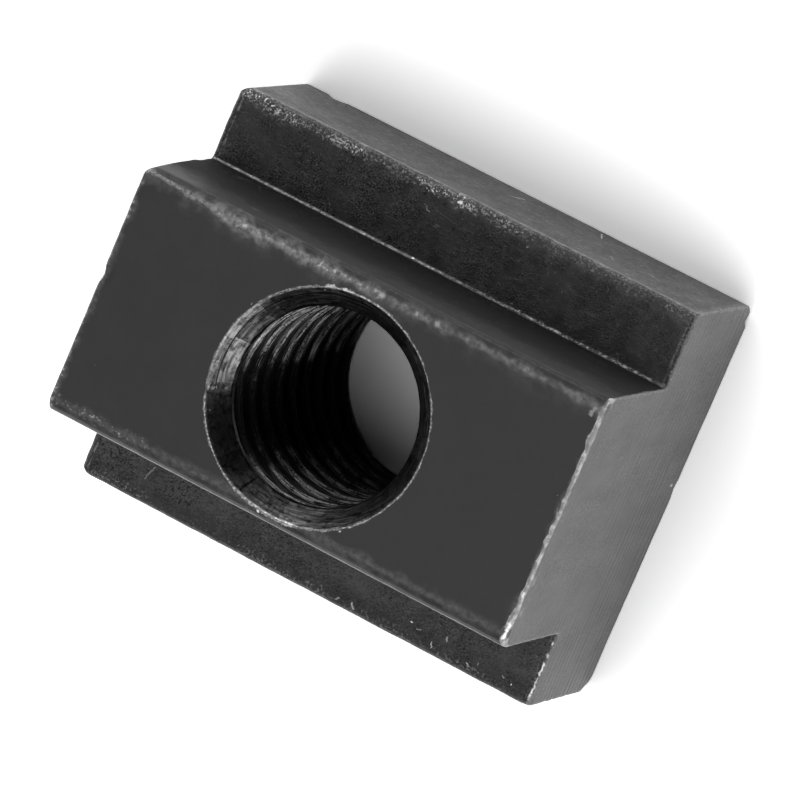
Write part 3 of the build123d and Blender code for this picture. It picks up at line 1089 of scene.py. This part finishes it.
FACE_SLOTS = {
    "underside": ROLLED_SIDE, "back_side": ROLLED_SIDE, "front_side": ROLLED_SIDE,
    "back_shoulder": SHOULDER_SCALE, "front_shoulder": SHOULDER_SCALE,
    "neck_back": NECK_SIDE, "neck_front": NECK_SIDE, "neck_top": NECK_OXIDE,
}


def run_steps(length, spacing):
    """Distances along a straight run: supports near both ends and even steps between them."""
    supports = [step * MM for step in SUPPORTS_MM if step * MM < length / 2]
    inner = length - 2 * supports[-1]
    count = max(1, round(inner / (spacing * MM)))
    middle = [supports[-1] + inner * i / count for i in range(1, count)]
    return supports + middle + [length - step for step in reversed(supports)]


def section_points(nut):
    """The T section as points, anticlockwise seen from the +X end."""
    corners = section_corners(nut)
    points = []
    for i, (place, radius, steps, face, spacing) in enumerate(corners):
        corner = Vector(place)
        back = (Vector(corners[i - 1][0]) - corner).normalized()
        ahead = (Vector(corners[(i + 1) % len(corners)][0]) - corner).normalized()
        centre = corner + (back + ahead) * radius
        convex = back.cross(ahead) < 0
        start, end = corner + back * radius, corner + ahead * radius
        half_arc = radius * math.pi / 4
        last_face = corners[i - 1][3]
        # The neck top's finish runs down its rounded edges, and the root belongs to the shoulder
        arc_face = face if "shoulder" in face else last_face
        if "neck_top" in (face, last_face):
            arc_face = "neck_top"
        for step in range(steps + 1):
            share = step / steps
            angle = share * math.pi / 2
            arm = (start - centre) * math.cos(angle) + (end - centre) * math.sin(angle)
            outward = arm.normalized() if convex else -arm.normalized()
            gap = abs(share - 0.5) * 2 * half_arc / MM if convex else FAR_FROM_EDGES
            points.append(SectionPoint(centre + arm, outward, gap, arc_face if step < steps else face))
        following = corners[(i + 1) % len(corners)]
        length = (Vector(following[0]) - corner).length - radius - following[1]
        outward = Vector((ahead.y, -ahead.x))
        next_arc = following[1] * math.pi / 4
        concave_here, concave_next = not convex, following[1] == nut.root_radius
        for distance in run_steps(length, spacing):
            gap_here = FAR_FROM_EDGES if concave_here else (distance + half_arc) / MM
            gap_next = FAR_FROM_EDGES if concave_next else (length - distance + next_arc) / MM
            points.append(SectionPoint(end + ahead * distance, outward, min(gap_here, gap_next), face))
    return points


def ragged(x, y, z, seed):
    """Smooth noise from -1 to 1 at a place given in mm."""
    return noise.noise(Vector((x + seed * 13.7, y - seed * 7.1, z + seed * 3.3)))


class BlockMaker:
    """Builds the block's mesh round the threaded wall."""

    def __init__(self, nut, hole):
        self.nut, self.hole = nut, hole
        self.mesh = bmesh.new()
        self.gap = self.mesh.verts.layers.float.new(EDGE_GAP)
        self.section = section_points(nut)

    def point(self, place, gap):
        """A new point with its gap to the nearest edge, in mm."""
        made = self.mesh.verts.new(place)
        made[self.gap] = gap
        return made

    def face(self, corners, slot):
        """A new smooth face with the material of that slot."""
        made = self.mesh.faces.new(corners)
        made.material_index = slot
        made.smooth = True
        return made

    def saw_break(self, item, end):
        """Break of the end's edge at one section point, in metres. It varies along the edge, and most
        on the neck's top."""
        y, z = item.place.x / MM, item.place.y / MM
        size = 1.0 + 0.6 * ragged(end * 5, y * 0.9, z * 0.9, 1) + 0.7 * ragged(end * 5, y * 2.3, z * 2.3, 2)
        lift = min(1.0, max(0.0, (z - self.nut.height / MM + 1.0) / 0.6))
        corner = max(0.0, CORNER_Y_MM - y) * CORNER_BREAK if end > 0 else 0.0
        size *= 1 + lift * (TOP_BREAK[end] + corner)
        return self.nut.saw_break * min(MOST_BREAK, max(LEAST_BREAK, size))

    def ring(self, end, x, angle=None):
        """A ring of points round the bar at x, in the half that ends at that end. With an angle instead,
        it lies on the end's broken edge."""
        ring = []
        half = self.nut.length / 2
        for item in self.section:
            edge = self.saw_break(item, end)
            if angle is None:
                # Where the break is wide, the rings beside it make room for it
                distance = max(half - abs(x), edge * 1.05 + (half - abs(x)) * 0.35)
                inset, gap = 0.0, distance - edge + edge * math.pi / 4
            else:
                distance = edge * (1 - math.sin(angle))
                inset, gap = edge * (1 - math.cos(angle)), abs(angle - math.pi / 4) * edge
            place = item.place - item.outward * (inset + self.rub(item, x))
            place = self.battered((end * (half - distance), place.x, place.y))
            ring.append(self.point(place, min(item.gap, gap / MM)))
        return ring

    def rub(self, item, x):
        """How far wear has moved a section point inwards at x, in metres: most beside an edge."""
        y, z = item.place.x / MM, item.place.y / MM
        deep = max(0.0, 0.3 + ragged(x / MM * 1.1, y * 1.1, z * 1.1, 3))
        return RUB_MM * MM * deep * math.exp(-item.gap / RUB_REACH_MM)

    def battered(self, place):
        """The place moved inwards by the rounded corners and by the dents."""
        place = Vector(self.rounded(place))
        for spot, outward, reach, depth in DENTS_MM:
            distance = (place / MM - Vector(spot)).length
            if distance < reach:
                fall = (1 - (distance / reach) ** 2) ** 2
                place -= Vector(outward).normalized() * depth * fall * MM
        return place

    def rounded(self, place):
        """The place moved inwards where it is outside a corner rounded by wear, all at -X: the flange's
        two corners, and the neck's back one, which is rounder the higher it is."""
        x, y, z = place
        radius, half_width = self.nut.corner_radius, self.nut.flange_width / 2
        if z > self.nut.flange_height + self.nut.shoulder_radius and y > 0:
            share = (z - self.nut.flange_height) / (self.nut.height - self.nut.flange_height)
            radius, half_width = self.nut.worn_radius * share ** 2, self.nut.neck_width / 2
        centre_x = radius - self.nut.length / 2
        centre_y = math.copysign(half_width - radius, y)
        reach = math.hypot(x - centre_x, y - centre_y)
        if x > centre_x or abs(y) < abs(centre_y) or reach < radius:
            return place
        share = radius / reach
        return centre_x + (x - centre_x) * share, centre_y + (y - centre_y) * share, z

    def band(self, first, second, slots):
        """Quads between two rings, the second further towards +X. A None slot leaves a gap."""
        count = len(first)
        for i in range(count):
            j = (i + 1) % count
            if slots[i] is not None:
                self.face((first[i], first[j], second[j], second[i]), slots[i])

    def build(self):
        """The block without its hole's wall: bands along the bar, and the two ends."""
        nut = self.nut
        half = nut.length / 2
        slots = [FACE_SLOTS[item.face] for item in self.section]
        end_slots = [SAWN_END] * len(self.section)
        start = nut.saw_break * 2.2
        steps = [0.0, *(step * MM for step in SUPPORTS_MM)]
        inner = half - start - steps[-1]
        count = round(2 * inner / (STATION_MM * MM))
        xs = [-half + start + step for step in steps]
        xs += [-inner + 2 * inner * i / count for i in range(1, count)]
        xs += [half - start - step for step in reversed(steps)]
        angles = [math.pi / 2 * i / BREAK_STEPS for i in range(BREAK_STEPS + 1)]
        low_end = [self.ring(-1, 0.0, angle) for angle in reversed(angles)]
        high_end = [self.ring(1, 0.0, angle) for angle in angles]
        rings = low_end + [self.ring(-1 if x < 0 else 1, x) for x in xs] + high_end
        last = len(rings) - 1
        for i in range(last):
            on_end = i < len(low_end) - 1 or i >= last - len(high_end) + 1
            self.band(rings[i], rings[i + 1], end_slots if on_end else slots)
        self.cap(-1, low_end[0])
        self.cap(1, high_end[-1])

    def off_axis(self, place):
        """Distance of a place from the hole's axis."""
        return math.hypot(place[0] - self.hole.hole_x, place[1] - self.hole.hole_y)

    def turn_of(self, place):
        """Angle of a place round the hole's axis."""
        return math.atan2(place[1] - self.hole.hole_y, place[0] - self.hole.hole_x)

    def fill(self, verts, edges, axes, outside, slot, upward):
        """Fills the flat area that the edges bound, but for its triangles whose middle is not outside
        the hole. Axes say which two coordinates the area is spread in."""
        place = {vert: i for i, vert in enumerate(verts)}
        flat = [Vector((vert.co[axes[0]], vert.co[axes[1]])) / MM for vert in verts]
        pairs = [(place[edge[0]], place[edge[1]]) for edge in edges]
        spots, _, triangles, origins, _, _ = delaunay_2d_cdt(flat, pairs, [], 1, 1e-6)
        for triangle in triangles:
            middle = sum((spots[i] for i in triangle), Vector((0.0, 0.0))) / 3 * MM
            if outside(middle):
                made = self.face([verts[origins[i][0]] for i in triangle], slot)
                made.normal_update()
                if made.normal.dot(upward) < 0:
                    made.normal_flip()

    def cap(self, end, ring):
        """Closes an end: two rings of supports and the flat inside them."""
        rings = [ring]
        for support_mm in END_SUPPORTS_MM:
            inner = []
            for item in self.section:
                inset = max(0.2 * MM, self.saw_break(item, end)) + support_mm * MM
                place = item.place - item.outward * inset
                place = self.battered((end * self.nut.length / 2, place.x, place.y))
                inner.append(self.point(place, inset / MM))
            rings.append(inner)
        for outer, inner in zip(rings, rings[1:]):
            pair = (outer, inner) if end > 0 else (inner, outer)
            self.band(*pair, [SAWN_END] * len(ring))
        last = rings[-1]
        edges = list(zip(last, last[1:] + last[:1]))
        self.fill(last, edges, (1, 2), lambda middle: True, SAWN_END, Vector((end, 0.0, 0.0)))

    def top_level(self, y):
        """Height of the neck's top, with its rounded edges, at a place across the bar."""
        radius = self.nut.neck_back_radius if y > 0 else self.nut.neck_front_radius
        over = min(max(abs(y) - (self.nut.neck_width / 2 - radius), 0.0), radius)
        return self.nut.height - radius + math.sqrt(radius * radius - over * over)

    def rim_place(self, angle):
        """Where the countersink meets the neck's top at an angle round the hole: radius and height."""
        level = self.nut.height
        for _ in range(8):
            radius = rim_radius(self.hole) - (self.nut.height - level)
            level = self.top_level(self.hole.hole_y + radius * math.sin(angle))
        return rim_radius(self.hole) - (self.nut.height - level), level

    def join_wall(self, wall):
        """Adds the threaded wall, trims it to the neck's top, and joins its rims to the two faces."""
        before = len(self.mesh.verts)
        self.mesh.from_mesh(wall)
        self.mesh.verts.ensure_lookup_table()
        added = self.mesh.verts[before:]
        hole = self.hole
        for vert in added:
            angle = self.turn_of(vert.co)
            radius, level = self.rim_place(angle)
            if vert.co.z > level - MERGE_DISTANCE:
                vert.co = (hole.hole_x + radius * math.cos(angle),
                           hole.hole_y + radius * math.sin(angle), level)
            down = (level - vert.co.z) / MM
            cone_radius = rim_radius(hole) - (self.nut.height - vert.co.z)
            on_cone = self.off_axis(vert.co) > cone_radius - CONE_SLACK
            in_mouth = on_cone and down < 1 or down < END_OF_MOUTH * hole.mouth_depth / MM
            vert[self.gap] = down * math.sqrt(2) if in_mouth else FAR_FROM_EDGES
        bmesh.ops.remove_doubles(self.mesh, verts=added, dist=1e-6)
        self.mesh.normal_update()
        rims = [edge for edge in self.mesh.edges if edge.is_boundary]
        self.open_face(rims, self.nut.height, NECK_OXIDE, 1.0)
        self.open_face(rims, 0.0, ROLLED_SIDE, -1.0)

    def open_face(self, rims, level, slot, side):
        """Takes the face's quads over the hole away, and joins the rest to the rim. The side is 1 for
        a face that looks up and -1 for one that looks down."""
        reach = 0.5 * MM
        rim = [edge for edge in rims if all(abs(vert.co.z - level) < reach for vert in edge.verts)]
        rim_verts = sorted({vert for edge in rim for vert in edge.verts},
                           key=lambda vert: self.turn_of(vert.co))
        turns = [self.turn_of(vert.co) for vert in rim_verts]
        clear = max(self.off_axis(vert.co) for vert in rim_verts) + 0.16 * MM
        over = [face for face in self.mesh.faces
                if side * face.normal.z > 0.7 and face.material_index == slot
                and any(self.off_axis(vert.co) < clear and abs(vert.co.z - level) < reach
                        for vert in face.verts)]
        uses = {}
        for face in over:
            for edge in face.edges:
                uses[edge] = uses.get(edge, 0) + 1
        outer = [tuple(edge.verts) for edge, count in uses.items() if count == 1]
        inner = [tuple(edge.verts) for edge in rim]
        bmesh.ops.delete(self.mesh, geom=over, context="FACES_KEEP_BOUNDARY")
        verts = list({vert for pair in outer + inner for vert in pair})

        def outside(middle):
            """Whether a place is further out than the rim's edge at the same angle."""
            after = bisect.bisect(turns, self.turn_of(middle)) % len(turns)
            first, second = rim_verts[after - 1].co, rim_verts[after].co
            return (second - first).xy.cross(middle - first.xy) < 0

        self.fill(verts, outer + inner, (0, 1), outside, slot, Vector((0.0, 0.0, side)))

    def finished_mesh(self, name):
        """The whole nut as one mesh, which has to be closed."""
        if not all(edge.is_manifold for edge in self.mesh.edges):
            raise RuntimeError("The nut's mesh is not closed")
        bmesh.ops.recalc_face_normals(self.mesh, faces=self.mesh.faces)
        made = bpy.data.meshes.new(name)
        self.mesh.to_mesh(made)
        self.mesh.free()
        return made


# --------------------------------------------------------------------------------------------------
# Stage
# --------------------------------------------------------------------------------------------------

# How much brighter than its light the floor is seen, so that it is white where the nut doesn't shade it
SEEN_FLOOR_GAIN = 2.0

# Dark gaps in the surroundings, which the neck's flat top mirrors: azimuth, elevation, inner and outer
# half angle in degrees, and what is left of the light
DARK_GAPS = ((40.0, 40.0, 36.0, 50.0, 0.03), (35.0, 78.0, 12.0, 24.0, 0.15))

# Softboxes, all at one distance from the nut: azimuth, elevation, width and height
SOFTBOX_DISTANCE = 1.2
SOFTBOXES = {
    "side": (-25.0, 28.0, 1.1, 0.85),
    "back": (112.0, 25.0, 1.1, 0.85),
    "key": (268.0, 72.0, 0.7, 0.7),
}

# The camera looks at its target from this azimuth and elevation, and is rolled about its own axis
CAMERA_AZIMUTH, CAMERA_ELEVATION, CAMERA_ROLL = 35.20, 67.998, -99.94
CAMERA_TARGET_MM = (0.817, 0.059, 8.4)
CAMERA_DISTANCE_MM = 395.47
LENS_MM, SENSOR_MM = 352.26, 36.0

FLOOR_HALF_WIDTH = 2.0


def direction(azimuth, elevation):
    """Unit vector at an azimuth from +X towards +Y and an elevation above the floor, in degrees."""
    turn, lift = math.radians(azimuth), math.radians(elevation)
    return Vector((math.cos(lift) * math.cos(turn), math.cos(lift) * math.sin(turn), math.sin(lift)))


def softbox(name, azimuth, elevation, width, height, radiance):
    """A rectangular lamp that faces the nut."""
    lamp = bpy.data.lights.new(name, "AREA")
    lamp.shape = "RECTANGLE"
    lamp.size, lamp.size_y = width, height
    lamp.energy = radiance * math.pi * width * height
    made = bpy.data.objects.new(name, lamp)
    towards = direction(azimuth, elevation)
    made.location = towards * SOFTBOX_DISTANCE
    made.rotation_euler = towards.to_track_quat("Z", "Y").to_euler()
    bpy.context.scene.collection.objects.link(made)


def seen_rays(web):
    """1 for what the camera, a reflection or a see-through surface sees, else 0."""
    path = web.add("ShaderNodeLightPath").outputs
    seen = web.math("MAXIMUM", path["Is Camera Ray"], path["Is Glossy Ray"])
    return web.math("MAXIMUM", seen, path["Is Transmission Ray"])


def floor_material(look):
    """White floor that keeps the nut's shadow."""
    material = bpy.data.materials.new("white_floor")
    material.use_nodes = True
    material.node_tree.nodes.clear()
    web = Web(material.node_tree)
    bright = tuple(share * SEEN_FLOOR_GAIN for share in look.floor)
    colour = web.blend(seen_rays(web), tuple(look.floor), bright)
    matt = web.node("ShaderNodeBsdfDiffuse", {"Color": colour})
    web.feed(web.add("ShaderNodeOutputMaterial").inputs["Surface"], matt.outputs[0])
    return material


def studio_world(look):
    """Pale surroundings: white at the horizon and dimmer overhead, with dark gaps."""
    world = bpy.data.worlds.new("studio")
    world.use_nodes = True
    world.node_tree.nodes.clear()
    web = Web(world.node_tree)
    towards = web.add("ShaderNodeTexCoord").outputs["Generated"]
    height = web.split(towards)[2]
    level = web.ramp(height, 0.15, 0.7, 1.0, look.dome)
    for azimuth, elevation, inner, outer, depth in DARK_GAPS:
        facing = web.vector("DOT_PRODUCT", towards, tuple(direction(azimuth, elevation)))
        shade = web.ramp(facing, math.cos(math.radians(outer)), math.cos(math.radians(inner)), 1.0, depth)
        level = web.times(level, shade)
    light = web.node("ShaderNodeBackground", {"Color": (1.0, 1.0, 1.0, 1.0), "Strength": level})
    web.feed(web.add("ShaderNodeOutputWorld").inputs["Surface"], light.outputs[0])
    return world


def studio_camera():
    """The camera, turned so that the nut lies across its view."""
    lens = bpy.data.cameras.new("camera")
    lens.lens, lens.sensor_width = LENS_MM, SENSOR_MM
    lens.clip_start, lens.clip_end = 0.01, 10.0
    camera = bpy.data.objects.new("camera", lens)
    bpy.context.scene.collection.objects.link(camera)
    back = direction(CAMERA_AZIMUTH, CAMERA_ELEVATION)
    level = Vector((0.0, 0.0, 1.0)).cross(back).normalized()
    up = back.cross(level)
    roll = math.radians(CAMERA_ROLL)
    right = math.cos(roll) * level + math.sin(roll) * up
    turned = Matrix((right, back.cross(right), back)).transposed().to_4x4()
    turned.translation = Vector(CAMERA_TARGET_MM) * MM + back * CAMERA_DISTANCE_MM * MM
    camera.matrix_world = turned
    return camera


# --------------------------------------------------------------------------------------------------
# Operators
# --------------------------------------------------------------------------------------------------

# Edges that turn by more than this are shaded sharp
SHARP_ANGLE = math.radians(32)


class NUT_OT_block(bpy.types.Operator):
    """Builds the nut: the T block, its threaded wall and their finishes"""

    bl_idname = "nut.block"
    bl_label = "Build the nut"

    def execute(self, context):
        nut, hole = context.scene.nut_sizes, context.scene.nut_thread
        materials = nut_materials(context.scene.nut_finish, nut, hole)
        wall = threaded_wall(nut, hole, materials)
        # The wall's own slots hold its two finishes: turn them into the block's slots
        names = [material.name for material in materials]
        order = [names.index(material.name) if material else CUT_THREAD for material in wall.materials]
        for polygon in wall.polygons:
            polygon.material_index = order[polygon.material_index]
        maker = BlockMaker(nut, hole)
        maker.build()
        maker.join_wall(wall)
        mesh = maker.finished_mesh("nut_block")
        bpy.data.meshes.remove(wall)
        for material in materials:
            mesh.materials.append(material)
        mesh.set_sharp_from_angle(angle=SHARP_ANGLE)
        block = bpy.data.objects.new("nut_block", mesh)
        context.scene.collection.objects.link(block)
        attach(block, BODY)
        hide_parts(NODE)
        return {"FINISHED"}


class NUT_OT_stage(bpy.types.Operator):
    """Lays the floor and sets the lamps, the surroundings and the camera"""

    bl_idname = "nut.stage"
    bl_label = "Set the stage"

    def execute(self, context):
        scene, look = context.scene, context.scene.nut_stage
        far = FLOOR_HALF_WIDTH
        corners = [(-far, -far, 0.0), (far, -far, 0.0), (far, far, 0.0), (-far, far, 0.0)]
        mesh = bpy.data.meshes.new("floor")
        mesh.from_pydata(corners, [], [(0, 1, 2, 3)])
        mesh.materials.append(floor_material(look))
        floor = bpy.data.objects.new("floor", mesh)
        scene.collection.objects.link(floor)
        scene.world = studio_world(look)
        for name, place in SOFTBOXES.items():
            softbox(f"{name}_softbox", *place, getattr(look, f"{name}_light"))
        scene.camera = studio_camera()
        scene.view_settings.view_transform = "Standard"
        return {"FINISHED"}


class NUT_PT_panel(bpy.types.Panel):
    """Lists the nut's sizes, finish and stage"""

    bl_idname = "NUT_PT_panel"
    bl_label = "T slot nut"
    bl_space_type = "VIEW_3D"
    bl_region_type = "UI"
    bl_category = "T slot nut"

    def draw(self, context):
        for name, group in GROUPS.items():
            box = self.layout.box()
            values = getattr(context.scene, name)
            for item in group.__annotations__:
                box.prop(values, item)
        self.layout.operator(NUT_OT_block.bl_idname)
        self.layout.operator(NUT_OT_stage.bl_idname)


GROUPS = {"nut_sizes": NutSizes, "nut_thread": ThreadSizes, "nut_finish": NutFinish, "nut_stage": StageLook}
CLASSES = [*GROUPS.values(), NUT_OT_block, NUT_OT_stage, NUT_PT_panel]


def register():
    for item in CLASSES:
        bpy.utils.register_class(item)
    for name, group in GROUPS.items():
        setattr(bpy.types.Scene, name, bpy.props.PointerProperty(type=group))


def unregister():
    for name in GROUPS:
        delattr(bpy.types.Scene, name)
    for item in reversed(CLASSES):
        bpy.utils.unregister_class(item)


def main():
    """Builds everything."""
    register()
    bpy.ops.nut.block()
    bpy.ops.nut.stage()


if __name__ == "__main__":
    main()
